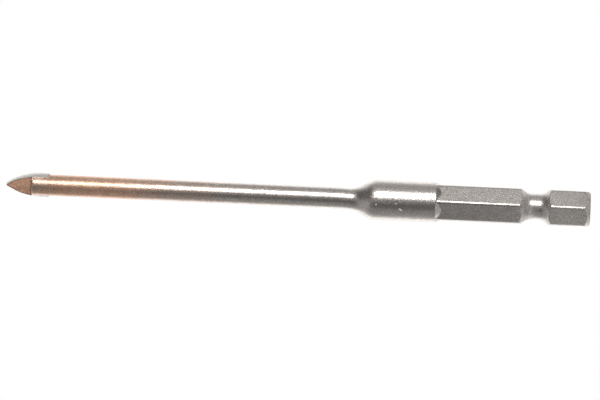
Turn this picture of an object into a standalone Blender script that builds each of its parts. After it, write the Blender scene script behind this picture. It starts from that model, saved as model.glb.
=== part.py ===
import math

import bmesh
import bpy
from mathutils import Matrix, Vector

# The bit stands on its shank. The middle of the shank's end face is the origin,
# the axis is Z and the tip is at the top. Heights count from that end face.
MM = 0.001

# Hex shank
HEX_ACROSS_FLATS = 6.35 * MM
HEX_CORNER_ROUNDING = 0.6 * MM
HEX_LENGTH = 28.15 * MM
END_FACE_DIAMETER = 5.86 * MM
END_CHAMFER_LENGTH = 0.92 * MM

# Ball groove in the shank
GROOVE_CENTRE = 10.0 * MM
GROOVE_NECK_DIAMETER = 4.65 * MM
GROOVE_NECK_LENGTH = 1.1 * MM
GROOVE_ARC_RADIUS = 2.7 * MM

# Collar, with its run-out onto the hex flats and its shoulder towards the shaft
COLLAR_DIAMETER = 7.25 * MM
COLLAR_LENGTH = 10.55 * MM
RUNOUT_ANGLE = math.radians(24.0)
RUNOUT_DEPTH = 0.6 * MM
SHOULDER_RADIUS = 4.0 * MM
CONE_HALF_ANGLE = math.radians(30.0)
FILLET_RADIUS = 5.0 * MM

# Shaft
SHAFT_DIAMETER = 3.84 * MM
SHAFT_END = 101.6 * MM
SHAFT_END_CHAMFER = 0.12 * MM

# Carbide tip plate, which stands out of the slot in the shaft's end
PLATE_PROTRUSION = 4.6 * MM
PLATE_THICKNESS = 1.1 * MM
PLATE_HALF_WIDTH = 1.98 * MM
PLATE_LENGTH = 7.75 * MM
PLATE_OGIVE_LENGTH = 6.2 * MM
PLATE_POINT_HALF_WIDTH = 0.1 * MM
PLATE_POINT_ROUNDING = 0.1 * MM
PLATE_POINT_THICKNESS = 0.66 * MM
PLATE_THINNED_LENGTH = 2.6 * MM
PLATE_RELIEF_ANGLE = math.radians(11.5)
PLATE_ROLL = math.radians(26.3)
PLATE_REAR_CHAMFER = 0.35 * MM

# Slot and braze: the braze fills the gap but for a small clearance
SLOT_GAP = 0.08 * MM
BRAZE_CLEARANCE = 0.015 * MM

# Facets
ROUND_STEPS = 96
ARC_STEPS = 8
CORNER_STEPS = 4
OGIVE_STEPS = 20
CUTTER_OVERRUN = 1.0 * MM
CORNER_CLEARANCE = 0.15 * MM

# The radius at the hex's rounded corners, and where the plate's two ends come to
SHARP_CORNER = HEX_ACROSS_FLATS / 2 / math.cos(math.pi / 6)
CORNER_ARC_CENTRE = SHARP_CORNER - HEX_CORNER_ROUNDING / math.cos(math.pi / 6)
CORNER_RADIUS = CORNER_ARC_CENTRE + HEX_CORNER_ROUNDING
POINT_END = SHAFT_END + PLATE_PROTRUSION
PLATE_REAR = POINT_END - PLATE_LENGTH


def clear_scene():
    for item in list(bpy.data.objects):
        bpy.data.objects.remove(item, do_unlink=True)
    for mesh in list(bpy.data.meshes):
        bpy.data.meshes.remove(mesh)


def add_collection(name):
    collection = bpy.data.collections.new(name)
    bpy.context.scene.collection.children.link(collection)
    return collection


def add_object(name, mesh, collection):
    item = bpy.data.objects.new(name, mesh)
    collection.objects.link(item)
    return item


def as_cutter(item):
    item.hide_render = True
    item.display_type = 'WIRE'
    return item


def arc(centre_height, centre_radius, radius, start, end, steps):
    """Points on a circle in the section plane, angles measured from straight out."""
    points = []
    for step in range(steps + 1):
        angle = start + (end - start) * step / steps
        height = centre_height + radius * math.sin(angle)
        out = centre_radius + radius * math.cos(angle)
        points.append((height, out))
    return points


def turned(name, profile, collection):
    """A closed turned solid from (height, radius) points.

    The profile starts and ends on the axis. It is set half a facet round, so
    that a facet faces each corner and each flat of the hex."""
    outwards = Matrix.Rotation(math.pi / ROUND_STEPS, 3, 'Z') @ Vector((1.0, 0.0, 0.0))
    mesh = bpy.data.meshes.new(name)
    points = []
    for height, radius in profile:
        points.append((outwards.x * radius, outwards.y * radius, height))
    edges = [(index, index + 1) for index in range(len(points) - 1)]
    mesh.from_pydata(points, edges, [])
    item = add_object(name, mesh, collection)
    screw = item.modifiers.new('Turn', 'SCREW')
    screw.axis = 'Z'
    screw.steps = ROUND_STEPS
    screw.render_steps = ROUND_STEPS
    screw.use_merge_vertices = True
    screw.merge_threshold = 0.000001
    screw.use_normal_calculate = True
    return item


def settle(item):
    """Replace an object's mesh with its finished shape, faces turned outwards."""
    graph = bpy.context.evaluated_depsgraph_get()
    shape = bpy.data.meshes.new_from_object(item.evaluated_get(graph))
    item.modifiers.clear()
    item.data = shape
    work = bmesh.new()
    work.from_mesh(shape)
    bmesh.ops.remove_doubles(work, verts=work.verts, dist=0.0000005)
    bmesh.ops.dissolve_degenerate(work, edges=work.edges, dist=0.0000005)
    bmesh.ops.recalc_face_normals(work, faces=work.faces)
    work.to_mesh(shape)
    work.free()
    return item


def box(name, size, centre, collection):
    mesh = bpy.data.meshes.new(name)
    work = bmesh.new()
    bmesh.ops.create_cube(work, size=1.0)
    bmesh.ops.scale(work, vec=size, verts=work.verts)
    bmesh.ops.translate(work, vec=centre, verts=work.verts)
    work.to_mesh(mesh)
    work.free()
    return add_object(name, mesh, collection)


def combine(item, other, operation):
    boolean = item.modifiers.new(operation.title() + ' ' + other.name, 'BOOLEAN')
    boolean.operation = operation
    boolean.solver = 'EXACT'
    boolean.object = other


def shade(item, degrees):
    item.data.shade_smooth()
    item.data.set_sharp_from_angle(angle=math.radians(degrees))


def make_material(name, colour, metallic, roughness):
    material = bpy.data.materials.new(name)
    material.use_nodes = True
    shader = material.node_tree.nodes['Principled BSDF']
    shader.inputs['Base Color'].default_value = (*colour, 1.0)
    shader.inputs['Metallic'].default_value = metallic
    shader.inputs['Roughness'].default_value = roughness
    return material


def hex_bar(name, collection):
    """The hex stock with its rounded corners: a corner towards -Y, a flat towards +X."""
    mesh = bpy.data.meshes.new(name)
    work = bmesh.new()
    ring = []
    for corner in range(6):
        facing = (corner + 0.5) * math.pi / 3
        for step in range(CORNER_STEPS + 1):
            turn = facing + (step / CORNER_STEPS - 0.5) * math.pi / 3
            across = CORNER_ARC_CENTRE * math.cos(facing) + HEX_CORNER_ROUNDING * math.cos(turn)
            deep = CORNER_ARC_CENTRE * math.sin(facing) + HEX_CORNER_ROUNDING * math.sin(turn)
            ring.append(work.verts.new((across, deep, -CUTTER_OVERRUN)))
    cap = work.faces.new(ring)
    grown = bmesh.ops.extrude_face_region(work, geom=[cap])
    moved = [part for part in grown['geom'] if isinstance(part, bmesh.types.BMVert)]
    rise = HEX_LENGTH + 2 * CUTTER_OVERRUN
    bmesh.ops.translate(work, vec=(0.0, 0.0, rise), verts=moved)
    bmesh.ops.recalc_face_normals(work, faces=work.faces)
    work.to_mesh(mesh)
    work.free()
    return add_object(name, mesh, collection)


def shank_envelope(collection):
    """What the lathe leaves of the hex stock: the end chamfer and the ball groove.

    It stays clear of the corners along the rest of the hex."""
    end_face = END_FACE_DIAMETER / 2
    clear = CORNER_RADIUS + CORNER_CLEARANCE
    chamfer_rise = (clear - end_face) * END_CHAMFER_LENGTH / (CORNER_RADIUS - end_face)
    neck = GROOVE_NECK_DIAMETER / 2
    half_neck = GROOVE_NECK_LENGTH / 2
    reach = math.acos(max(-1.0, 1.0 - (clear - neck) / GROOVE_ARC_RADIUS))
    profile = [(0.0, 0.0), (0.0, end_face), (chamfer_rise, clear)]
    profile += arc(GROOVE_CENTRE - half_neck, neck + GROOVE_ARC_RADIUS, GROOVE_ARC_RADIUS,
                   math.pi + reach, math.pi, ARC_STEPS)
    profile += arc(GROOVE_CENTRE + half_neck, neck + GROOVE_ARC_RADIUS, GROOVE_ARC_RADIUS,
                   math.pi, math.pi - reach, ARC_STEPS)
    top = HEX_LENGTH + 2 * CUTTER_OVERRUN
    profile.append((top, clear))
    profile.append((top, 0.0))
    return as_cutter(turned('shank_envelope', profile, collection))


def turned_front(collection):
    """Run-out, collar, shoulder, cone, fillet and shaft as one turned solid."""
    collar = COLLAR_DIAMETER / 2
    shaft = SHAFT_DIAMETER / 2
    runout_start = HEX_LENGTH - RUNOUT_DEPTH / math.tan(RUNOUT_ANGLE)
    profile = [(runout_start, 0.0), (runout_start, collar - RUNOUT_DEPTH), (HEX_LENGTH, collar)]
    shoulder_start = HEX_LENGTH + COLLAR_LENGTH
    profile += arc(shoulder_start, collar - SHOULDER_RADIUS, SHOULDER_RADIUS,
                   0.0, CONE_HALF_ANGLE, ARC_STEPS)
    bend = 1.0 - math.cos(CONE_HALF_ANGLE)
    drop = (collar - shaft) - (SHOULDER_RADIUS + FILLET_RADIUS) * bend
    cone_end = profile[-1][0] + drop / math.tan(CONE_HALF_ANGLE)
    fillet_end = cone_end + FILLET_RADIUS * math.sin(CONE_HALF_ANGLE)
    profile += arc(fillet_end, shaft + FILLET_RADIUS, FILLET_RADIUS,
                   math.pi + CONE_HALF_ANGLE, math.pi, ARC_STEPS)
    profile.append((SHAFT_END - SHAFT_END_CHAMFER, shaft))
    profile.append((SHAFT_END, shaft - SHAFT_END_CHAMFER))
    profile.append((SHAFT_END, 0.0))
    return as_cutter(turned('turned_front', profile, collection))


def plate_half_width(behind_point):
    """Half the plate's width at a distance behind its point: a rounded point, an
    arc that meets the sides without a corner, then parallel sides."""
    rise = PLATE_HALF_WIDTH - PLATE_POINT_HALF_WIDTH
    radius = (rise * rise + PLATE_OGIVE_LENGTH * PLATE_OGIVE_LENGTH) / (2 * rise)
    left = max(0.0, PLATE_OGIVE_LENGTH - behind_point)
    width = PLATE_HALF_WIDTH - radius + math.sqrt(radius * radius - left * left)
    if behind_point < PLATE_POINT_ROUNDING:
        short = 1.0 - behind_point / PLATE_POINT_ROUNDING
        width *= math.sqrt(max(0.0, 1.0 - short * short))
    return width


def plate_outline():
    """Points (distance behind the point, half width) from the point to the rear end."""
    stations = [PLATE_POINT_ROUNDING * part for part in (0.0, 0.12, 0.4, 1.0)]
    first = stations[-1]
    for step in range(1, OGIVE_STEPS + 1):
        share = (step / OGIVE_STEPS) ** 1.15
        stations.append(first + (PLATE_OGIVE_LENGTH - first) * share)
    stations.append(PLATE_THINNED_LENGTH)
    stations.sort()
    outline = [(station, plate_half_width(station)) for station in stations]
    outline.append((PLATE_LENGTH - PLATE_REAR_CHAMFER, PLATE_HALF_WIDTH))
    outline.append((PLATE_LENGTH, PLATE_HALF_WIDTH - PLATE_REAR_CHAMFER))
    return outline


def plate_level(behind_point):
    """How far each broad face is from the plate's middle: it is thinned at the point."""
    share = min(1.0, behind_point / PLATE_THINNED_LENGTH)
    return (PLATE_POINT_THICKNESS + (PLATE_THICKNESS - PLATE_POINT_THICKNESS) * share) / 2


def carbide_plate(collection):
    """The tip plate: its outline shifts sideways through the thickness, which
    leaves each cutting edge ahead of the ground flank behind it."""
    outline = plate_outline()
    loop = [(behind, half) for behind, half in outline]
    loop += [(behind, -half) for behind, half in reversed(outline[1:])]
    mesh = bpy.data.meshes.new('carbide_tip')
    work = bmesh.new()
    rings = []
    for side in (-1, 1):
        ring = []
        for behind, across in loop:
            level = side * plate_level(behind)
            shift = level * math.tan(PLATE_RELIEF_ANGLE)
            ring.append(work.verts.new((across + shift, level, POINT_END - behind)))
        rings.append(ring)
    count = len(loop)
    last = len(outline) - 1
    for ring in rings:
        work.faces.new((ring[0], ring[1], ring[count - 1]))
        for index in range(1, last):
            work.faces.new((ring[index], ring[index + 1], ring[count - index - 1], ring[count - index]))
    for index in range(count):
        after = (index + 1) % count
        work.faces.new((rings[0][index], rings[0][after], rings[1][after], rings[1][index]))
    bmesh.ops.recalc_face_normals(work, faces=work.faces)
    work.to_mesh(mesh)
    work.free()
    item = add_object('carbide_tip', mesh, collection)
    item.rotation_euler.z = -PLATE_ROLL
    return item


def slot_box(name, clearance, collection):
    """The slot's space, drawn in by a clearance on its two sides and its floor."""
    slot_floor = PLATE_REAR - SLOT_GAP + clearance
    top = SHAFT_END + CUTTER_OVERRUN
    width = SHAFT_DIAMETER + 2 * CUTTER_OVERRUN
    thickness = PLATE_THICKNESS + 2 * SLOT_GAP - 2 * clearance
    size = (width, thickness, top - slot_floor)
    centre = (0.0, 0.0, (top + slot_floor) / 2)
    item = box(name, size, centre, collection)
    item.rotation_euler.z = -PLATE_ROLL
    return item


def plate_space(collection):
    """The plate's own space in the slot, with the clearance around it."""
    rear = PLATE_REAR - BRAZE_CLEARANCE
    top = SHAFT_END + 2 * CUTTER_OVERRUN
    width = SHAFT_DIAMETER + 4 * CUTTER_OVERRUN
    thickness = PLATE_THICKNESS + 2 * BRAZE_CLEARANCE
    size = (width, thickness, top - rear)
    centre = (0.0, 0.0, (top + rear) / 2)
    item = box('plate_space', size, centre, collection)
    item.rotation_euler.z = -PLATE_ROLL
    return as_cutter(item)


def steel_body(parts, cutters):
    body = hex_bar('steel_body', parts)
    combine(body, shank_envelope(cutters), 'INTERSECT')
    combine(body, turned_front(cutters), 'UNION')
    combine(body, as_cutter(slot_box('tip_slot', 0.0, cutters)), 'DIFFERENCE')
    settle(body)
    shade(body, 12)
    return body


def braze_joint(parts, cutters):
    """The U of braze metal between the slot and the plate, flush with the shaft."""
    joint = slot_box('braze_joint', BRAZE_CLEARANCE, parts)
    slot_floor = PLATE_REAR - SLOT_GAP
    outer = SHAFT_DIAMETER / 2 - BRAZE_CLEARANCE
    top = SHAFT_END - BRAZE_CLEARANCE
    rear = slot_floor - CUTTER_OVERRUN
    limit = turned('braze_limit', [(rear, 0.0), (rear, outer), (top, outer), (top, 0.0)],
                   cutters)
    combine(joint, as_cutter(limit), 'INTERSECT')
    combine(joint, plate_space(cutters), 'DIFFERENCE')
    settle(joint)
    shade(joint, 30)
    return joint


clear_scene()
bit_parts = add_collection('glass_and_tile_drill_bit')
bit_cutters = add_collection('cutters')

body = steel_body(bit_parts, bit_cutters)
body.data.materials.append(make_material('satin_steel', (0.42, 0.40, 0.39), 1.0, 0.36))

tip = carbide_plate(bit_parts)
tip.data.materials.append(make_material('tungsten_carbide', (0.30, 0.25, 0.22), 1.0, 0.45))

joint = braze_joint(bit_parts, bit_cutters)
joint.data.materials.append(make_material('braze_metal', (0.72, 0.47, 0.25), 1.0, 0.4))
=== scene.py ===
import math
import bmesh
import bpy
from mathutils import Matrix, Vector, noise


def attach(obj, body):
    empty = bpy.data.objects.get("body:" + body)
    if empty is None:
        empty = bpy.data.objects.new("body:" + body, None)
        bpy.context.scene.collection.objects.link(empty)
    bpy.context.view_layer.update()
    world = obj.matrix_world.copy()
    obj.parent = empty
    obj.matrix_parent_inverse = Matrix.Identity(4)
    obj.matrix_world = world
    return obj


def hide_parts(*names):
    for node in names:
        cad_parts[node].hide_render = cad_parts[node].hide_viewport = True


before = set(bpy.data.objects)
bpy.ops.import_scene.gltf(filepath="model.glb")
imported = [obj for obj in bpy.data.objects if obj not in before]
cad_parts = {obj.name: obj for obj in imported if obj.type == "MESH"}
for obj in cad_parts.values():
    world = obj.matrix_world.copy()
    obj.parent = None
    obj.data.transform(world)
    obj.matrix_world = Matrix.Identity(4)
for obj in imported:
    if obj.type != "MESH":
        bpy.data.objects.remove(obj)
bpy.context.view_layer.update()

mm = 0.001
scene = bpy.context.scene
pointEnd = 106.2          # top of the carbide plate, in mm above the shank's end face
plateRoll = math.radians(-26.3)   # turn of the plate and its slot about the bit's axis
weldDistance = 0.0001 * mm        # points nearer to each other than this are one
pastShaft = 6             # mm, a width that reaches past the shaft on both sides


# Helpers for the meshes

def clamp(value, low=0.0, high=1.0):
    return max(low, min(high, value))


def softMin(a, b, softness):
    share = clamp(0.5 + 0.5 * (b - a) / softness)
    return b + (a - b) * share - softness * share * (1 - share)


def softMax(a, b, softness):
    return -softMin(-a, -b, softness)


def meshFrom(shape, name):
    mesh = bpy.data.meshes.new(name)
    shape.to_mesh(mesh)
    shape.free()
    return mesh


def addObject(name, data):
    item = bpy.data.objects.new(name, data)
    scene.collection.objects.link(item)
    return item


def addPiece(name, mesh, sharpAngle, replacedNode):
    mesh.name = name
    mesh.shade_smooth()
    mesh.set_sharp_from_angle(angle=math.radians(sharpAngle))
    piece = addObject(name, mesh)
    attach(piece, "root")
    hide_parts(replacedNode)
    return piece


def drawLine(shape, points):
    verts = [shape.verts.new(point) for point in points]
    for first, second in zip(verts, verts[1:]):
        shape.edges.new((first, second))


def spinRound(shape, columns):
    bmesh.ops.spin(shape, geom=shape.verts[:] + shape.edges[:], cent=(0, 0, 0),
                   axis=(0, 0, 1), angle=math.tau, steps=columns, use_merge=True)
    bmesh.ops.remove_doubles(shape, verts=shape.verts, dist=weldDistance)
    bmesh.ops.recalc_face_normals(shape, faces=shape.faces)


def turnWithPlate(shape):
    bmesh.ops.rotate(shape, verts=shape.verts, cent=(0, 0, 0), matrix=Matrix.Rotation(plateRoll, 3, "Z"))


def turnedBox(name, width, thickness, bottom, top):
    shape = bmesh.new()
    bmesh.ops.create_cube(shape, size=1.0)
    bmesh.ops.scale(shape, verts=shape.verts, vec=(width * mm, thickness * mm, (top - bottom) * mm))
    bmesh.ops.translate(shape, verts=shape.verts, vec=(0, 0, (top + bottom) / 2 * mm))
    turnWithPlate(shape)
    return addObject(name, meshFrom(shape, name))


def carve(item, cuts):       # cuts are pairs of an operation and an object, and use all the objects up
    for operation, other in cuts:
        cut = item.modifiers.new(operation.title(), "BOOLEAN")
        cut.operation = operation
        cut.solver = "EXACT"
        cut.object = other
    carved = bpy.data.meshes.new_from_object(item.evaluated_get(bpy.context.evaluated_depsgraph_get()))
    for used in [item] + [other for operation, other in cuts]:
        bpy.data.objects.remove(used)
    return carved


def arcPoints(height, radius, size, start, end, steps):
    points = []          # (height, radius) pairs; angles run from straight out towards the tip
    for step in range(steps + 1):
        angle = math.radians(start + (end - start) * step / steps)
        points.append((height + size * math.sin(angle), radius + size * math.cos(angle)))
    return points


def stations(start, end, spacing):       # evenly spaced heights, without the last one
    count = max(1, round((end - start) / spacing))
    return [start + (end - start) * step / count for step in range(count)]


# Steel body: hex shank, ball groove, collar, cone and shaft

steelSizes = {               # millimetres and degrees
    "flatRadius": 3.175,          # middle of the bit to each hex flat
    "cornerRounding": 0.6,
    "endFaceRadius": 2.93,
    "endChamferSlope": 0.699,     # growth in radius for each mm of height
    "endEdgeRounding": 0.08,
    "grooveCentre": 10.0,
    "grooveNeckRadius": 2.325,
    "grooveNeckLength": 1.1,
    "neckWaist": 0.014,           # how fast the neck widens from its middle
    "waistReach": 1.5,
    "grooveArcRadius": 2.7,
    "grooveArcShare": 0.95,       # how much of the arc's radius the groove's walls use
    "uncut": 9.0,                 # any radius outside the hex, where the lathe cuts nothing
    "edgeSoftness": 0.09,         # rounding where turned and milled faces meet
    "runoutSlope": 0.445,
    "runoutSoftness": 0.03,
    "collarStart": 28.15,
    "collarSoftness": 0.06,
    "collarRadius": 3.621,
    "collarEnd": 38.7,
    "shoulderRadius": 4.0,
    "coneAngle": 30.0,
    "filletRadius": 5.0,
    "grooveLean": 0.07,           # the groove was cut this much off the axis
    "grooveLeanReach": 1.9,       # height on each side over which that fades
    "grooveLeanPower": 0.7,
    "coneLean": 0.09,             # the cone sits this far off the axis
    "coneLeanEnd": 46.0,
    "coneLeanFades": (1.6, 3.0),  # after the collar and before its end
    "shaftRadius": 1.918,
    "shaftEnd": 101.6,
    "shaftEdge": ((0.5, 0.0), (0.16, 0.0), (0.12, 0.012), (0.02, 0.105), (0.0, 0.15),
                  (0.0, 0.5)),    # how far below the shaft's end, and how far in from its surface
    "slotWidth": 1.26,
    "slotFloor": 98.37,
    "turnedFade": (0.03, 0.06),   # below the flats: where a surface starts to count as turned, and the fade
    "columns": 288,
    "arcSteps": 12,
    "endFaceRings": (0.0, 1.3, 2.5, 2.72),     # radii
    "edgeRings": (0.0, 0.012, 0.032, 0.058),   # heights
    "shankRings": ((0.09, 1.7, 0.08), (1.7, 6.9, 0.9), (6.9, 13.1, 0.075),
                   (13.1, 26.4, 1.4), (26.4, 28.5, 0.07)),     # from, to and spacing
    "blankRadius": 3.0,           # the shank's rings before they take the hex's form
    "collarSpacing": 1.7,
    "shaftSpacing": 4.0,
}


def hexRadius(angle):
    sizes = steelSizes
    flat, rounding = sizes["flatRadius"], sizes["cornerRounding"]
    sixth = math.pi / 3
    off = abs((angle + sixth / 2) % sixth - sixth / 2)       # turn from the nearest flat's middle
    arcCentre = (flat - rounding) / math.cos(math.pi / 6)
    straightHalf = arcCentre * math.sin(math.pi / 6)
    if off <= math.atan2(straightHalf, flat):
        return flat / math.cos(off)
    turn = sixth / 2 - off
    return arcCentre * math.cos(turn) + math.sqrt(rounding ** 2 - (arcCentre * math.sin(turn)) ** 2)


def latheRadius(height):
    sizes = steelSizes
    chamfer = sizes["endFaceRadius"] + sizes["endChamferSlope"] * height
    edge = sizes["endEdgeRounding"]
    if height < edge:
        chamfer -= edge * (1 - height / edge) ** 2
    fromCentre = abs(height - sizes["grooveCentre"])
    beside = fromCentre - sizes["grooveNeckLength"] / 2
    size = sizes["grooveArcRadius"]
    groove = sizes["uncut"]
    if beside <= 0:
        groove = sizes["grooveNeckRadius"]
    elif beside < size * sizes["grooveArcShare"]:
        groove = sizes["grooveNeckRadius"] + size - math.sqrt(size ** 2 - beside ** 2)
    groove += sizes["neckWaist"] * min(sizes["waistReach"], fromCentre) ** 2
    return min(chamfer, groove, sizes["uncut"])


def runoutRadius(height):
    sizes = steelSizes
    return sizes["collarRadius"] + sizes["runoutSlope"] * (height - sizes["collarStart"])


def shankRadius(angle, height):
    sizes = steelSizes
    shank = softMin(hexRadius(angle), latheRadius(height), sizes["edgeSoftness"])
    runout = softMin(sizes["collarRadius"], runoutRadius(height), sizes["collarSoftness"])
    return softMax(shank, runout, sizes["runoutSoftness"])


def steelProfile():
    sizes = steelSizes
    rings = list(sizes["edgeRings"])
    for start, end, spacing in sizes["shankRings"]:
        rings += stations(start, end, spacing)
    shankTop = sizes["shankRings"][-1][1]
    line = [(0.0, radius) for radius in sizes["endFaceRings"]]
    line += [(height, sizes["blankRadius"]) for height in rings]
    collar, shaft = sizes["collarRadius"], sizes["shaftRadius"]
    line += [(height, collar) for height in stations(shankTop, sizes["collarEnd"], sizes["collarSpacing"])]
    shoulder, fillet, lean = sizes["shoulderRadius"], sizes["filletRadius"], sizes["coneAngle"]
    steps = sizes["arcSteps"]
    line += arcPoints(sizes["collarEnd"], collar - shoulder, shoulder, 0, lean, steps)
    slope = math.radians(lean)
    drop = collar - shaft - (shoulder + fillet) * (1 - math.cos(slope))
    filletEnd = line[-1][0] + drop / math.tan(slope) + fillet * math.sin(slope)
    line += arcPoints(filletEnd, shaft + fillet, fillet, 180 + lean, 180, steps)
    edgeStart = sizes["shaftEnd"] - sizes["shaftEdge"][0][0]
    firstRing = filletEnd + sizes["shaftSpacing"] / 2
    line += [(height, shaft) for height in stations(firstRing, edgeStart, sizes["shaftSpacing"])]
    line += [(sizes["shaftEnd"] - below, shaft - inside) for below, inside in sizes["shaftEdge"]]
    line.append((sizes["shaftEnd"], 0.0))
    return line


def leanShares(height):      # how much of the cone's and the groove's lean holds at this height
    sizes = steelSizes
    cone = 0.0
    if sizes["collarEnd"] < height < sizes["coneLeanEnd"]:
        rise, fall = sizes["coneLeanFades"]
        cone = min(1.0, (height - sizes["collarEnd"]) / rise, (sizes["coneLeanEnd"] - height) / fall)
        cone = cone * cone * (3 - 2 * cone)
    groove = max(0.0, 1 - abs(height - sizes["grooveCentre"]) / sizes["grooveLeanReach"])
    return cone, groove ** sizes["grooveLeanPower"]


def markTurned(mesh):        # 1 where the lathe cut, 0 on the milled flats
    sizes = steelSizes
    turned = mesh.attributes.new("turned", "FLOAT", "POINT")
    fadeStart, fadeLength = sizes["turnedFade"]
    flatsEnd = sizes["collarStart"] - 0.1    # from here up it is all collar
    for index, vert in enumerate(mesh.vertices):
        height = vert.co.z / mm
        lathe = 1.0
        if height < flatsEnd:
            flat = hexRadius(math.atan2(vert.co.y, vert.co.x))
            lathe = clamp((flat - vert.co.xy.length / mm - fadeStart) / fadeLength)
            if runoutRadius(height) > flat:
                lathe = 1.0
        turned.data[index].value = lathe


def makeSteel():
    sizes = steelSizes
    shape = bmesh.new()
    drawLine(shape, [(radius * mm, 0, height * mm) for height, radius in steelProfile()])
    spinRound(shape, sizes["columns"])
    lastRing = sizes["shankRings"][-1][1] - 0.05     # the shank's rings are below this, the collar's above
    for vert in shape.verts:
        height = vert.co.z / mm
        reach = vert.co.xy.length / mm
        coneShare, grooveShare = leanShares(height)
        vert.co.x -= sizes["coneLean"] * coneShare * mm
        if height < lastRing and (height > 0 or reach > sizes["endFaceRadius"]):
            angle = math.atan2(vert.co.y, vert.co.x)
            radius = shankRadius(angle, height)
            vert.co.x = radius * math.cos(angle) * mm
            vert.co.y = radius * math.sin(angle) * mm
            vert.co.x += sizes["grooveLean"] * grooveShare * mm
    body = addObject("steelBlank", meshFrom(shape, "steelBlank"))

    cutterTop = sizes["shaftEnd"] + 1.0
    slotCutter = turnedBox("slotCutter", pastShaft, sizes["slotWidth"], sizes["slotFloor"], cutterTop)
    finished = carve(body, [("DIFFERENCE", slotCutter)])
    shape = bmesh.new()
    shape.from_mesh(finished)
    mergeDistance = 0.0005 * mm
    bmesh.ops.remove_doubles(shape, verts=shape.verts, dist=mergeDistance)
    bmesh.ops.dissolve_degenerate(shape, edges=shape.edges, dist=mergeDistance)
    shape.to_mesh(finished)
    shape.free()
    markTurned(finished)
    return addPiece("steel_bit_body", finished, 40, "steel_body")


# Carbide plate: a pointed arch with its flanks ground back

plateSizes = {               # millimetres and degrees
    "halfWidth": 1.98,
    "thickness": 1.1,
    "length": 7.78,
    "archLength": 6.2,
    "archStop": 0.1,              # how far below the point the arch ends
    "archSteps": 48,
    "pointHalfWidth": 0.1,
    "pointRound": ((0.75, 0.035), (0.4, 0.01), (0.0, 0.0)),    # shares of the arch's last width, and depths
    "pointThickness": 0.66,
    "pointShift": 0.1,            # the point is ground a little off the middle
    "shiftStart": 104.9,
    "thinnedLength": 2.6,         # the plate is ground thinner over this length behind its point
    "rearChamfer": 0.12,
    "rearSlant": 0.25,            # how much shorter the plate is at one corner of its rear end
    "relief": 11.5,
    "edgeBevel": 0.022,
    "bevelFrom": 35,              # edges that turn by more than this are bevelled
}


def archRadius():            # of the arc from the plate's full width to its point
    rise = plateSizes["halfWidth"] - plateSizes["pointHalfWidth"]
    return (rise ** 2 + plateSizes["archLength"] ** 2) / (2 * rise)


def drawPlate(shape):        # the outline, drawn as one half and mirrored
    sizes = plateSizes
    half, arch, size = sizes["halfWidth"], sizes["archLength"], archRadius()
    archFoot = pointEnd - arch
    start = shape.verts.new((half * mm, 0, archFoot * mm))
    bmesh.ops.spin(shape, geom=[start], cent=((half - size) * mm, 0, archFoot * mm), axis=(0, -1, 0),
                   angle=math.asin((arch - sizes["archStop"]) / size), steps=sizes["archSteps"])
    shape.verts.ensure_lookup_table()
    upper = max(shape.verts, key=lambda vert: vert.co.z)
    last = upper
    for across, below in sizes["pointRound"]:
        vert = shape.verts.new((upper.co.x * across, 0, (pointEnd - below) * mm))
        shape.edges.new((last, vert))
        last = vert
    rear = pointEnd - sizes["length"]
    chamfer = sizes["rearChamfer"]
    foot = shape.verts.new((half * mm, 0, (rear + chamfer) * mm))
    corner = shape.verts.new(((half - chamfer) * mm, 0, rear * mm))
    middle = shape.verts.new((0, 0, rear * mm))
    for pair in ((start, foot), (foot, corner), (corner, middle)):
        shape.edges.new(pair)
    mergeDistance = 0.001 * mm
    bmesh.ops.mirror(shape, geom=shape.verts[:] + shape.edges[:], axis="X", merge_dist=mergeDistance)
    bmesh.ops.remove_doubles(shape, verts=shape.verts, dist=mergeDistance)
    bmesh.ops.contextual_create(shape, geom=shape.edges[:])


def makePlate():
    sizes = plateSizes
    thickness = sizes["thickness"]
    shape = bmesh.new()
    drawPlate(shape)
    bmesh.ops.translate(shape, verts=shape.verts, vec=(0, -thickness / 2 * mm, 0))
    grown = bmesh.ops.extrude_face_region(shape, geom=shape.faces[:], use_keep_orig=True)
    lifted = [part for part in grown["geom"] if isinstance(part, bmesh.types.BMVert)]
    bmesh.ops.translate(shape, verts=lifted, vec=(0, thickness * mm, 0))
    bmesh.ops.recalc_face_normals(shape, faces=shape.faces)
    crease = pointEnd - sizes["thinnedLength"]
    bmesh.ops.bisect_plane(shape, geom=shape.verts[:] + shape.edges[:] + shape.faces[:], dist=weldDistance,
                           plane_co=(0, 0, crease * mm), plane_no=(0, 0, 1))
    for vert in shape.verts:
        thinned = max(0.0, (vert.co.z / mm - crease) / sizes["thinnedLength"])
        vert.co.y *= 1 - thinned * (1 - sizes["pointThickness"] / thickness)
    rearTop = pointEnd - sizes["length"] + sizes["rearChamfer"] + 0.01      # just above the rear chamfers
    shiftStart = sizes["shiftStart"]
    for vert in shape.verts:
        if vert.co.z / mm < rearTop and vert.co.x * vert.co.y < 0:
            vert.co.z += sizes["rearSlant"] * mm
        offCentre = max(0.0, (vert.co.z / mm - shiftStart) / (pointEnd - shiftStart))
        vert.co.x -= sizes["pointShift"] * offCentre ** 2 * mm
    shear = Matrix.Identity(4)
    shear[0][1] = math.tan(math.radians(sizes["relief"]))
    bmesh.ops.transform(shape, matrix=shear, verts=shape.verts)
    rims = [edge for edge in shape.edges if len(edge.link_faces) == 2
            and edge.calc_face_angle(0) > math.radians(sizes["bevelFrom"])]
    bmesh.ops.bevel(shape, geom=rims, offset=sizes["edgeBevel"] * mm, affect="EDGES", segments=2,
                    profile=0.5, material=-1, clamp_overlap=True)
    broad = 0.985            # a face that looks this squarely out of the plate is a broad one
    for face in shape.faces:          # the broad faces keep the heat colour, the flanks are ground
        face.material_index = 0 if abs(face.normal.y) > broad else 1
    turnWithPlate(shape)
    return addPiece("carbide_plate", meshFrom(shape, "carbide_plate"), 30, "carbide_tip")


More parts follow.
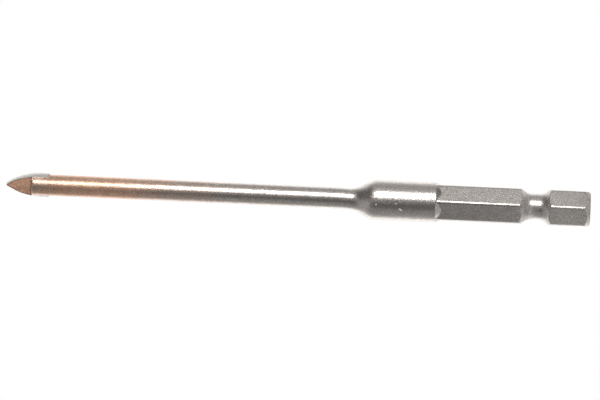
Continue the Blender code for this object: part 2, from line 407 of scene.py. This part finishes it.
# Braze metal: the layer in the slot, and a smear and a fillet along the slot's lips

brazeSizes = {               # millimetres, and radians round the shaft
    "layerInset": 0.015,
    "outerRadius": 1.9,
    "top": 101.58,
    "beadWidths": (0.75, 0.65),   # how far it spreads: the smear, and the fillet under the cutting edge
    "beadBottom": 98.32,
    "beadRoot": 1.82,             # radius at which it ends inside the shaft
    "beadGrid": (16, 64),         # segments across and along
    "lipOverlap": 0.035,          # how far inside the slot's lip it starts
    "wanderNoise": (2.6, 7.1, 3.3),          # waves for each mm, and what sets sides and lips apart
    "speckleNoise": (5.5, 7.0, 5.0, 2.0),    # spots for each mm along and across, and the same
    "smearLip": 1.1,              # its rise at the lip, in shares of its height
    "smearHeight": 0.05,
    "smearSink": 0.025,           # its thinnest places lie under the shaft's surface
    "smearLimits": (-0.3, 1.2),   # its rise, in shares of its height
    "smearFoot": 0.28,            # share of its width that it keeps at its foot
    "smearWidens": (0.25, 0.3),   # where it starts to widen and over how much, in shares of its length
    "smearWander": (0.85, 0.5),   # its mean reach, and how much that wanders
    "smearSpeckle": 0.9,
    "smearTop": (0.2, 9),         # its rise at the shaft's end, and how fast it grows from there
    "footSlope": 9,               # how fast both beads grow from their foot
    "rearReach": 0.26,            # how far it reaches back in to close the gap at the plate's rear corner
    "rearTop": 98.8,
    "rearFade": 0.3,
    "filletHeight": 0.19,
    "filletSink": 0.012,
    "filletWander": 0.25,
    "filletTop": (0.1, 12),
    "filletLowest": -0.05,
    "limitColumns": 192,
}


def taper(rise, along, top):         # a bead thins out towards both its ends
    topRise, topSlope = top
    return min(rise, (1 - along) * topSlope + topRise, along * brazeSizes["footSlope"])


def smearRise(outward, along, wander, speckle):
    sizes = brazeSizes
    foot, (widensAt, widensOver) = sizes["smearFoot"], sizes["smearWidens"]
    meanReach, wanderShare = sizes["smearWander"]
    reach = (foot + (1 - foot) * clamp((along - widensAt) / widensOver)) * (meanReach + wanderShare * wander)
    rise = sizes["smearLip"] - outward / max(0.1, reach) + sizes["smearSpeckle"] * speckle
    return clamp(taper(rise, along, sizes["smearTop"]), *sizes["smearLimits"])


def filletRise(outward, along, wander):      # straight, with a little wander
    sizes = brazeSizes
    rise = 1 - outward * (1.0 - sizes["filletWander"] * wander)
    return max(sizes["filletLowest"], taper(rise, along, sizes["filletTop"]))


def addBead(shape, side, lip, width):        # lip -1 has the smear, lip 1 the fillet
    sizes = brazeSizes
    across, lengthways = sizes["beadGrid"]
    grid = bmesh.ops.create_grid(shape, x_segments=across, y_segments=lengthways, size=1.0)
    radius = steelSizes["shaftRadius"]
    lipStart = math.asin(steelSizes["slotWidth"] / 2 / radius) - sizes["lipOverlap"]
    outer = lipStart + width / radius
    waves, waveSide, waveLip = sizes["wanderNoise"]
    spotsAlong, spotsAcross, spotSide, spotLip = sizes["speckleNoise"]
    for vert in grid["verts"]:
        outward, along = (vert.co.x + 1) / 2, (vert.co.y + 1) / 2
        height = sizes["beadBottom"] + (sizes["top"] - sizes["beadBottom"]) * along
        wander = noise.noise(Vector((height * waves, side * waveSide, lip * waveLip)))
        speckle = noise.noise(Vector((height * spotsAlong, outward * width * spotsAcross,
                                      side * spotSide + lip * spotLip)))
        inner = lipStart
        if lip > 0:
            grown = radius - sizes["filletSink"] + sizes["filletHeight"] * filletRise(outward, along, wander)
        else:
            rise = smearRise(outward, along, wander, speckle)
            grown = radius - sizes["smearSink"] + sizes["smearHeight"] * rise
            inner -= sizes["rearReach"] * clamp((sizes["rearTop"] - height) / sizes["rearFade"])
        angle = lip * (inner + outward * (outer - inner)) + (0 if side > 0 else math.pi)
        vert.co = Vector((grown * math.cos(angle), grown * math.sin(angle), height)) * mm
    return grid["verts"]


def beadShape():
    sizes = brazeSizes
    shape = bmesh.new()
    for side in (1, -1):
        for lip, width in zip((-1, 1), sizes["beadWidths"]):
            verts = addBead(shape, side, lip, width)
            faces = list({face for vert in verts for face in vert.link_faces})
            grown = bmesh.ops.extrude_face_region(shape, geom=faces, use_keep_orig=True)
            for part in grown["geom"]:
                if isinstance(part, bmesh.types.BMVert):
                    part.co.xy = part.co.xy.normalized() * sizes["beadRoot"] * mm
    bmesh.ops.recalc_face_normals(shape, faces=shape.faces)
    turnWithPlate(shape)
    return shape


def makeBraze():
    sizes = brazeSizes
    inset = sizes["layerInset"]
    layer = turnedBox("brazeLayer", pastShaft, steelSizes["slotWidth"] - 2 * inset,
                      steelSizes["slotFloor"] + inset, sizes["top"])
    room = turnedBox("brazeRoom", 1.5 * pastShaft, plateSizes["thickness"] + 2 * inset,
                     pointEnd - plateSizes["length"] - inset, sizes["top"] + 1)
    limitMiddle, limitLength = 100 * mm, 20 * mm     # past the layer at both ends
    roundShape = bmesh.new()
    bmesh.ops.create_cone(roundShape, cap_ends=True, segments=sizes["limitColumns"], depth=limitLength,
                          radius1=sizes["outerRadius"] * mm, radius2=sizes["outerRadius"] * mm)
    bmesh.ops.translate(roundShape, verts=roundShape.verts, vec=(0, 0, limitMiddle))
    limit = addObject("brazeLimit", meshFrom(roundShape, "brazeLimit"))
    finished = carve(layer, [("INTERSECT", limit), ("DIFFERENCE", room)])
    shape = beadShape()
    shape.from_mesh(finished)
    shape.to_mesh(finished)
    shape.free()
    return addPiece("braze_metal", finished, 30, "braze_joint")


# Helpers for the materials

noiseSpan = (0.3, 0.7)       # what a noise pattern mostly keeps to
patchSpan = (0.35, 0.65)     # a narrower span, for more contrast


def grey(level):
    return (level,) * 3


def newMaterial(name):
    material = bpy.data.materials.new(name)
    material.use_nodes = True
    tree = material.node_tree
    shader = tree.nodes["Principled BSDF"]
    place = tree.nodes.new("ShaderNodeTexCoord")
    return material, tree, shader, place.outputs["Object"]


def feed(tree, socket, source):      # the source is a number, a colour or another node's socket
    if isinstance(source, (int, float)):
        socket.default_value = source
    elif isinstance(source, tuple):
        socket.default_value = (*source, 1)
    else:
        tree.links.new(source, socket)


def addNode(tree, kind, values=None, **links):
    node = tree.nodes.new(kind)
    for name, value in (values or {}).items():
        if name in node.inputs:
            node.inputs[name].default_value = value
        else:
            setattr(node, name, value)
    for name, source in links.items():
        tree.links.new(source, node.inputs[name.replace("_", " ")])
    return node


def axesOf(tree, place, turn=0.0):
    if turn:
        place = addNode(tree, "ShaderNodeMapping", {"Rotation": (0, 0, turn)}, Vector=place).outputs["Vector"]
    split = addNode(tree, "ShaderNodeSeparateXYZ", Vector=place)
    return split.outputs["X"], split.outputs["Y"], split.outputs["Z"]


def lengthOf(tree, vector):
    return addNode(tree, "ShaderNodeVectorMath", {"operation": "LENGTH"}, Vector=vector).outputs["Value"]


def noiseOn(tree, place, scale, detail, roughness=0.5, stretch=(1, 1, 1), turn=0.0):
    mapped = addNode(tree, "ShaderNodeMapping", {"Rotation": (0, 0, turn), "Scale": stretch}, Vector=place)
    pattern = addNode(tree, "ShaderNodeTexNoise", {"Scale": scale, "Detail": detail, "Roughness": roughness},
                      Vector=mapped.outputs["Vector"])
    return pattern.outputs["Fac"]


def rangeOf(tree, value, fromMin, fromMax, toMin, toMax):
    node = addNode(tree, "ShaderNodeMapRange", {"From Min": fromMin, "From Max": fromMax,
                                                "To Min": toMin, "To Max": toMax}, Value=value)
    return node.outputs["Result"]


def combine(tree, operation, first, second=0.0):
    node = tree.nodes.new("ShaderNodeMath")
    node.operation = operation
    feed(tree, node.inputs[0], first)
    feed(tree, node.inputs[1], second)
    return node.outputs["Value"]


def ramp(tree, value, stops):
    node = addNode(tree, "ShaderNodeValToRGB", Fac=value)
    elements = node.color_ramp.elements
    while len(elements) > 1:
        elements.remove(elements[-1])
    elements[0].position, elements[0].color = stops[0][0], (*stops[0][1], 1)
    for position, colour in stops[1:]:
        elements.new(position).color = (*colour, 1)
    return node.outputs["Color"]


def greyRamp(tree, value, stops):
    return ramp(tree, value, [(position, grey(level)) for position, level in stops])


def mixColour(tree, share, first, second, blend="MIX"):
    node = tree.nodes.new("ShaderNodeMix")
    node.data_type = "RGBA"
    node.blend_type = blend
    for index, source in ((0, share), (6, first), (7, second)):      # 6 and 7 are its colour sockets
        feed(tree, node.inputs[index], source)
    return node.outputs[2]


def twoShades(tree, pattern, span, colour, shares):      # the shares darken and lighten the colour
    dark, light = (tuple(min(1.0, part * share) for part in colour) for share in shares)
    return mixColour(tree, rangeOf(tree, pattern, *span, 0, 1), dark, light)


def attributeOn(tree, name):
    return addNode(tree, "ShaderNodeAttribute", {"attribute_name": name}).outputs["Fac"]


def spotOn(tree, place, middle, size, turn, core=0.55):      # the core keeps its whole strength
    values = {"vector_type": "TEXTURE", "Location": [part * mm for part in middle],
              "Rotation": (0, math.radians(turn), 0), "Scale": [part * mm for part in size]}
    mapped = addNode(tree, "ShaderNodeMapping", values, Vector=place)
    return rangeOf(tree, lengthOf(tree, mapped.outputs["Vector"]), core, 1.0, 1.0, 0.0)


def belowShaftEnd(tree, height, span, share):        # whole below the span, in mm from the shaft's end
    shaftTop = steelSizes["shaftEnd"] * mm
    return rangeOf(tree, height, shaftTop + span[0] * mm, shaftTop + span[1] * mm, share, 0.0)


def setSurface(tree, shader, colour, metal, roughness, relief, depth):
    feed(tree, shader.inputs["Base Color"], colour)
    feed(tree, shader.inputs["Metallic"], metal)
    feed(tree, shader.inputs["Roughness"], roughness)
    bump = addNode(tree, "ShaderNodeBump", {"Strength": 1.0, "Distance": depth * mm}, Height=relief)
    feed(tree, shader.inputs["Normal"], bump.outputs["Normal"])


# Materials

steelFinish = {              # sizes are millimetres, noise patterns are scale, detail and roughness
    "steel": (0.56, 0.52, 0.49),
    "steelShades": (0.95, 1.05),
    "turnedSteel": (0.55, 0.51, 0.485),   # chamfer, groove and run-out, cut after the flats
    "turnedRoughness": 0.05,
    "turnedEnd": (27.5, 28.5),   # height over which that finish ends, at the collar
    "heatTint": (0.70, 0.436, 0.307),
    "tintShades": (0.9, 1.08),
    "heatSpan": (50, 102),       # height from clean steel to the tip's heat
    "heatWander": 4.0,
    "wanderNoise": (260, 3),
    "heatShares": [(0.0, 0.0), (0.30, 0.12), (0.50, 0.42), (0.68, 0.9), (0.86, 1.0), (1.0, 0.72)],
    "heatTones": [(0.0, grey(0.93)), (0.55, grey(0.93)), (0.64, grey(1)), (0.8, grey(1)),
                  (0.9, (0.89, 0.885, 0.88)), (1.0, (0.82, 0.82, 0.84))],     # over the same span
    "tintMetal": 0.7,            # the oxide skin is less of a mirror
    "tintRoughness": 0.05,
    "roughness": (0.18, 0.3),
    "patchNoise": (700, 4, 0.6),
    "grainNoise": (4600, 3, 0.62),
    "grainDepth": 0.028,
    "speckleNoise": (4300, 2, 0.7),
    "speckleTones": [(0.3, 0.25), (0.5, 0.48), (0.62, 0.68), (0.7, 0.95)],
    "speckleShare": 0.6,
    "ringNoise": (1.0, 2),
    "ringStretch": (300, 300, 6000),     # fine along the bit, so that it makes rings
    "ringDepth": 0.002,
    # Painted glints: three real nicks on the collar are painted near white and made less of a mirror, to
    # stand in for the light they catch
    "nickGlintColour": (1.0, 0.99, 0.97),
    "nickGlintMetal": 0.8,            # how much less of a mirror a nick is, so that its near-white paint shows as a painted glint
    "nickGlints": [((-0.95, -3.5, 38.95), (0.2, 0.5, 0.15), 12), ((-0.66, -3.56, 35.35), (0.15, 0.5, 0.14), 0),
              ((-1.71, -3.19, 34.47), (0.5, 0.5, 0.17), -54)],      # middle, size and turn
}


def steelMaterial():
    look = steelFinish
    material, tree, shader, place = newMaterial("satin_blasted_steel")
    height = axesOf(tree, place)[2]
    patches = noiseOn(tree, place, *look["patchNoise"])
    grain = noiseOn(tree, place, *look["grainNoise"])
    speckle = noiseOn(tree, place, *look["speckleNoise"])

    wander = look["heatWander"] * mm
    wandering = rangeOf(tree, noiseOn(tree, place, *look["wanderNoise"]), *noiseSpan, -wander, wander)
    heatStart, heatEnd = (edge * mm for edge in look["heatSpan"])
    heat = rangeOf(tree, combine(tree, "ADD", height, wandering), heatStart, heatEnd, 0.0, 1.0)
    tint = greyRamp(tree, heat, look["heatShares"])
    tones = ramp(tree, rangeOf(tree, height, heatStart, heatEnd, 0.0, 1.0), look["heatTones"])
    steelColour = twoShades(tree, patches, patchSpan, look["steel"], look["steelShades"])
    tintColour = twoShades(tree, patches, patchSpan, look["heatTint"], look["tintShades"])
    tintColour = mixColour(tree, 1.0, tintColour, tones, "MULTIPLY")

    lathe = attributeOn(tree, "turned")
    turnedStart, turnedEnd = (edge * mm for edge in look["turnedEnd"])
    freshCut = combine(tree, "MULTIPLY", lathe, rangeOf(tree, height, turnedStart, turnedEnd, 1.0, 0.0))
    steelColour = mixColour(tree, freshCut, steelColour, look["turnedSteel"])
    colour = mixColour(tree, tint, steelColour, tintColour)
    specks = greyRamp(tree, speckle, look["speckleTones"])
    colour = mixColour(tree, look["speckleShare"], colour, specks, "OVERLAY")
    # painted glints: the nicks are painted near white, for the light they catch
    nickGlints = 0.0
    for middle, size, turn in look["nickGlints"]:
        nickGlints = combine(tree, "MAXIMUM", spotOn(tree, place, middle, size, turn), nickGlints)
    colour = mixColour(tree, nickGlints, colour, look["nickGlintColour"])

    metal = rangeOf(tree, tint, 0, 1, 1.0, look["tintMetal"])
    metal = combine(tree, "SUBTRACT", metal, combine(tree, "MULTIPLY", nickGlints, look["nickGlintMetal"]))
    rough = combine(tree, "ADD", rangeOf(tree, grain, *noiseSpan, *look["roughness"]),
                    rangeOf(tree, tint, 0, 1, 0.0, look["tintRoughness"]))
    rough = combine(tree, "ADD", rough, combine(tree, "MULTIPLY", freshCut, look["turnedRoughness"]))
    rings = noiseOn(tree, place, *look["ringNoise"], stretch=look["ringStretch"])
    rings = combine(tree, "MULTIPLY", lathe, rings)
    ringShare = look["ringDepth"] / look["grainDepth"]
    relief = combine(tree, "ADD", grain, combine(tree, "MULTIPLY", rings, ringShare))
    setSurface(tree, shader, colour, metal, rough, relief, look["grainDepth"])
    return material


carbideFinish = {            # spans and depths are millimetres
    "face": (0.93, 0.535, 0.36),
    "faceDark": (0.58, 0.35, 0.235),
    "faceNoise": (1500, 4, 0.65),
    "fleckNoise": (4200, 2, 0.7),
    "fleckTones": [(0.3, 0.22), (0.5, 0.5), (0.7, 0.78)],
    "fleckShare": 0.7,
    "faceMetal": 0.35,
    "faceRoughness": (0.42, 0.56),
    "faceGrain": (7000, 3, 0.6),
    "faceDepth": 0.003,
    "edge": (0.26, 0.13, 0.08),
    "edgeSpan": (0.03, 0.27),    # from the plate's outline inwards
    "edgeRagged": 0.05,
    "edgeShare": 0.85,
    "shaftEndShade": (0.17, 0.11, 0.1),    # painted shade: the dark line in the gap along the shaft's end
    "shaftEndShadeSpan": (0.12, 0.32),
    "shaftEndShadeShare": 0.7,
    "heldReflectionSpan": (-0.05, 0.02),   # painted reflection: below this, where the slot holds it, the face is painted the pale flank colour for the backdrop its thin strip beside the shaft reflects
    "flank": (0.82, 0.79, 0.76),
    "flankShades": (0.78, 1.2),
    "flankHeated": (0.72, 0.675, 0.65),      # beside the braze
    "heatedSpan": (-1.2, 0.3),
    "heatedShare": 0.85,
    "heatedRim": (1.96, 2.1),    # radius over which it weakens towards the flank's outer edge
    "rimShare": 0.8,
    "grindNoise": (1.0, 3),
    "grindStretch": (6000, 6000, 350),       # long along the bit, so that it makes grinding lines
    "flankMetal": 0.9,
    "flankRoughness": (0.3, 0.42),
    "flankDepth": 0.002,
}


def edgeDistance(tree, place):       # distance from the plate's outline, worked out from its arch
    sizes = plateSizes
    size = archRadius() * mm
    archFoot = (pointEnd - sizes["archLength"]) * mm
    x, y, z = axesOf(tree, place, -plateRoll)
    lean = combine(tree, "MULTIPLY", y, math.tan(math.radians(sizes["relief"])))
    across = combine(tree, "ABSOLUTE", combine(tree, "SUBTRACT", x, lean))
    up = combine(tree, "MAXIMUM", combine(tree, "SUBTRACT", z, archFoot))
    chord = combine(tree, "SQRT", combine(tree, "SUBTRACT", size ** 2, combine(tree, "MULTIPLY", up, up)))
    outline = combine(tree, "ADD", chord, sizes["halfWidth"] * mm - size)
    return combine(tree, "SUBTRACT", outline, across)


def carbideFaceMaterial():
    look = carbideFinish
    material, tree, shader, place = newMaterial("heat_browned_carbide")
    height = axesOf(tree, place)[2]
    patches = noiseOn(tree, place, *look["faceNoise"])
    flecks = noiseOn(tree, place, *look["fleckNoise"])
    grain = noiseOn(tree, place, *look["faceGrain"])
    colour = mixColour(tree, rangeOf(tree, patches, *patchSpan, 0, 1), look["faceDark"], look["face"])
    specks = greyRamp(tree, flecks, look["fleckTones"])
    colour = mixColour(tree, look["fleckShare"], colour, specks, "OVERLAY")
    ragged = rangeOf(tree, flecks, *noiseSpan, -look["edgeRagged"] * mm, look["edgeRagged"] * mm)
    inside = combine(tree, "ADD", edgeDistance(tree, place), ragged)
    nearEdge = rangeOf(tree, inside, look["edgeSpan"][0] * mm, look["edgeSpan"][1] * mm, 1.0, 0.0)
    colour = mixColour(tree, combine(tree, "MULTIPLY", nearEdge, look["edgeShare"]), colour, look["edge"])
    # painted shade in the gap where the face meets the shaft's end
    shaftEndShade = belowShaftEnd(tree, height, look["shaftEndShadeSpan"], look["shaftEndShadeShare"])
    colour = mixColour(tree, shaftEndShade, colour, look["shaftEndShade"])
    # painted reflection: the face below the shaft's end is painted the pale flank colour
    colour = mixColour(tree, belowShaftEnd(tree, height, look["heldReflectionSpan"], 1.0), colour, look["flank"])
    rough = rangeOf(tree, grain, *noiseSpan, *look["faceRoughness"])
    setSurface(tree, shader, colour, look["faceMetal"], rough, grain, look["faceDepth"])
    return material


def carbideFlankMaterial():
    look = carbideFinish
    material, tree, shader, place = newMaterial("ground_carbide")
    lines = noiseOn(tree, place, *look["grindNoise"], stretch=look["grindStretch"], turn=-plateRoll)
    colour = twoShades(tree, lines, noiseSpan, look["flank"], look["flankShades"])
    x, y, height = axesOf(tree, place)
    squares = [combine(tree, "POWER", axis, 2.0) for axis in (x, y)]
    radius = combine(tree, "SQRT", combine(tree, "ADD", *squares))
    rimStart, rimEnd = (edge * mm for edge in look["heatedRim"])
    heated = belowShaftEnd(tree, height, look["heatedSpan"], look["heatedShare"])
    heated = combine(tree, "MULTIPLY", heated, rangeOf(tree, radius, rimStart, rimEnd, 1.0, look["rimShare"]))
    colour = mixColour(tree, heated, colour, look["flankHeated"])
    rough = rangeOf(tree, lines, *noiseSpan, *look["flankRoughness"])
    setSurface(tree, shader, colour, look["flankMetal"], rough, lines, look["flankDepth"])
    return material


brazeFinish = {              # spans and depths are millimetres
    "patchNoise": (2600, 4, 0.7),
    "smearTones": [(0.33, (0.36, 0.15, 0.08)), (0.4, (0.82, 0.55, 0.4)), (0.52, (1.0, 0.88, 0.76))],
    "fillet": (0.9, 0.81, 0.76),
    "filletShare": 0.85,
    "filletFade": 0.1,           # square millimetres of x times y
    "lipLine": (0.3, 0.17, 0.12),    # the dark line along the slot's lip, on the smear
    "lipSpan": (0.02, 0.09),
    "lipShare": 0.5,
    "metal": 0.4,
    "roughness": (0.5, 0.32),
    "patchDepth": 0.006,
}


def brazeMaterial():
    look = brazeFinish
    material, tree, shader, place = newMaterial("copper_braze")
    patches = noiseOn(tree, place, *look["patchNoise"])
    x, y = axesOf(tree, place, -plateRoll)[:2]
    colour = ramp(tree, patches, look["smearTones"])
    quarter = combine(tree, "MULTIPLY", x, y)        # positive on the two fillets, negative on the smears
    fade = look["filletFade"] * mm * mm
    onFillet = rangeOf(tree, quarter, -fade, fade, 0.0, look["filletShare"])
    colour = mixColour(tree, onFillet, colour, look["fillet"])
    fromLip = combine(tree, "SUBTRACT", combine(tree, "ABSOLUTE", y), steelSizes["slotWidth"] / 2 * mm)
    lipStart, lipEnd = (edge * mm for edge in look["lipSpan"])
    atLip = rangeOf(tree, fromLip, lipStart, lipEnd, look["lipShare"], 0.0)
    atLip = combine(tree, "MAXIMUM", combine(tree, "SUBTRACT", atLip, onFillet))
    colour = mixColour(tree, atLip, colour, look["lipLine"])
    rough = rangeOf(tree, patches, *noiseSpan, *look["roughness"])
    setSurface(tree, shader, colour, look["metal"], rough, patches, look["patchDepth"])
    return material


# Camera, floor and light

cameraView = {
    "lens": 600, "sensor": 36,       # millimetres
    "height": 52.8, "drop": 0.671,
    "turn": 1.3, "slope": 2.57,      # degrees
    "distance": 1.8183, "clipping": (0.01, 20),      # metres
}


def viewAxes():
    turn = math.radians(cameraView["turn"])
    back = Vector((-math.sin(turn), -math.cos(turn), 0))
    side = Vector((math.cos(turn), -math.sin(turn), 0))
    return back, side


def addCamera():
    view = cameraView
    back, side = viewAxes()
    slope = math.radians(view["slope"])
    upBit = Vector((0, 0, 1))
    right = side * math.sin(slope) - upBit * math.cos(slope)
    up = upBit * math.sin(slope) + side * math.cos(slope)
    target = Vector((0, 0, view["height"] * mm)) - up * view["drop"] * mm
    camera = addObject("camera", bpy.data.cameras.new("camera"))
    camera.data.lens = view["lens"]
    camera.data.sensor_width = view["sensor"]
    camera.data.clip_start, camera.data.clip_end = view["clipping"]
    turned = Matrix((right, up, back)).transposed()
    camera.matrix_world = Matrix.Translation(target + back * view["distance"]) @ turned.to_4x4()
    scene.camera = camera


studio = {                   # metres, degrees, watts and parts of a unit vector
    # The room as the metal sees it: the turn round the bit, from the camera towards the lamp, and brightness
    "roomTones": [(-180, 1.0), (-118, 0.95), (-110, 0.62), (-98, 0.46), (-87, 0.40), (-75, 0.34),
                  (-60, 0.32), (-46, 0.19), (-30, 0.13), (-12, 0.26), (0, 0.34), (20, 0.45), (50, 0.55),
                  (60, 0.66), (70, 0.5), (84, 0.47), (107, 0.5), (118, 0.95), (180, 1.0)],
    "poleTones": (0.5, 0.16),    # the room above and below, on the dim and the lamp side
    "poleSides": (-0.28, 0.2),   # where the one runs into the other
    "poleStart": (0.5, 0.75),    # how steep a direction has to be
    "poleLift": 0.22,            # they start so much lower on the lamp side
    "liftHeights": (0.1, 0.3),
    "liftSides": (0.0, 0.4),
    "frontSpan": (0.25, -0.1),   # the poles fade out behind the bit
    "frontLow": (-0.3, 0.3),     # from this far down they reach so much further back
    "softbox": {"turn": 32.0, "width": 0.38, "length": 0.64, "height": 0.024, "power": 4.6},
    "rims": ((-141, 1.0), (146, 0.8)),       # turn and power
    "rimLight": {"width": 0.5, "length": 0.9, "height": 0.055},
    "lampDistance": 0.9,
    "floorColumns": 96,
    "floorRadius": 0.08,
    "floorMiddle": (-0.05, 0.02),
    "floorLevel": -0.00005,      # a hair under the shank's end face
    "floorTone": 0.68,
    "floorRoughness": 0.9,
    "floorGlow": 0.7,            # to the camera, so that it is as white as the backdrop
    "floorInMetal": [(0.0, 0.27), (0.05, 0.27), (0.1, 0.0), (0.31, 0.0), (0.6, 0.14), (0.8, 0.14),
                     (0.97, 0.0)],           # its glow in the metal; the distance from the bit in floor radii
    "glowSide": (-0.0016, -0.0034, 1.0, 2.6),    # x from and to, and the gain there
    "glowBack": (-0.004, 0.007, 0.0, 0.45),      # y from and to, and what is added
}


def addWorld():
    world = bpy.data.worlds.new("studio")
    scene.world = world
    world.use_nodes = True
    tree = world.node_tree
    background = tree.nodes["Background"]
    place = tree.nodes.new("ShaderNodeTexCoord")
    x, y, z = axesOf(tree, place.outputs["Generated"])
    turn = combine(tree, "ARCTAN2", x, combine(tree, "MULTIPLY", y, -1.0))
    share = rangeOf(tree, turn, -math.pi, math.pi, 0.0, 1.0)
    tones = greyRamp(tree, share, [((degrees + 180) / 360, tone) for degrees, tone in studio["roomTones"]])
    poles = rangeOf(tree, x, *studio["poleSides"], *studio["poleTones"])
    height = combine(tree, "ABSOLUTE", z)
    lifted = combine(tree, "MULTIPLY", rangeOf(tree, height, *studio["liftHeights"], 0.0, studio["poleLift"]),
                     rangeOf(tree, x, *studio["liftSides"], 0.0, 1.0))
    steep = rangeOf(tree, combine(tree, "ADD", height, lifted), *studio["poleStart"], 0.0, 1.0)
    lowStart, lowDepth = studio["frontLow"]
    depth = combine(tree, "SUBTRACT", y, rangeOf(tree, z, lowStart, 0.0, lowDepth, 0.0))
    frontal = rangeOf(tree, depth, *studio["frontSpan"], 0.0, 1.0)
    tones = mixColour(tree, combine(tree, "MULTIPLY", steep, frontal), tones, poles)
    rays = tree.nodes.new("ShaderNodeLightPath")
    colour = mixColour(tree, rays.outputs["Is Camera Ray"], tones, (1.0, 1.0, 1.0))
    tree.links.new(colour, background.inputs["Color"])


def addLamp(name, turn, width, length, height, power):
    back, side = viewAxes()
    turn = math.radians(turn)
    towards = back * math.cos(turn) + side * math.sin(turn)
    light = bpy.data.lights.new(name, "AREA")
    light.shape = "RECTANGLE"
    light.size = width
    light.size_y = length
    light.energy = power
    lamp = addObject(name, light)
    upright = Vector((0, 0, 1))
    across = upright.cross(towards).normalized()
    turned = Matrix((across, upright, towards)).transposed()
    spot = Vector((0, 0, height)) + towards * studio["lampDistance"]
    lamp.matrix_world = Matrix.Translation(spot) @ turned.to_4x4()
    lamp.visible_camera = False


def addFloor():
    shape = bmesh.new()
    bmesh.ops.create_circle(shape, cap_ends=True, segments=studio["floorColumns"],
                            radius=studio["floorRadius"])
    bmesh.ops.translate(shape, verts=shape.verts, vec=(*studio["floorMiddle"], studio["floorLevel"]))
    floor = addObject("floor", meshFrom(shape, "floor"))
    material, tree, shader, place = newMaterial("pale_floor")
    feed(tree, shader.inputs["Base Color"], grey(studio["floorTone"]))
    feed(tree, shader.inputs["Roughness"], studio["floorRoughness"])
    feed(tree, shader.inputs["Emission Color"], grey(1.0))
    share = rangeOf(tree, lengthOf(tree, place), 0.0, studio["floorRadius"], 0.0, 1.0)
    inMetal = greyRamp(tree, share, studio["floorInMetal"])
    x, y = axesOf(tree, place)[:2]
    inMetal = combine(tree, "MULTIPLY", inMetal, rangeOf(tree, x, *studio["glowSide"]))
    inMetal = combine(tree, "ADD", inMetal, rangeOf(tree, y, *studio["glowBack"]))
    rays = tree.nodes.new("ShaderNodeLightPath")
    toCamera = combine(tree, "MULTIPLY", rays.outputs["Is Camera Ray"], studio["floorGlow"])
    toMetal = combine(tree, "MULTIPLY", rays.outputs["Is Glossy Ray"], inMetal)
    feed(tree, shader.inputs["Emission Strength"], combine(tree, "ADD", toCamera, toMetal))
    floor.data.materials.append(material)


addCamera()
print("camera placed")

steel = makeSteel()
steel.data.materials.append(steelMaterial())
print("steel body made,", len(steel.data.polygons), "faces")

plate = makePlate()
plate.data.materials.append(carbideFaceMaterial())
plate.data.materials.append(carbideFlankMaterial())
print("carbide plate made,", len(plate.data.polygons), "faces")

braze = makeBraze()
braze.data.materials.append(brazeMaterial())
print("braze made,", len(braze.data.polygons), "faces")

addWorld()
addLamp("softbox", **studio["softbox"])
for rimTurn, rimPower in studio["rims"]:
    addLamp("rimLight", turn=rimTurn, power=rimPower, **studio["rimLight"])
addFloor()
scene.view_settings.view_transform = "Standard"
print("studio lit")
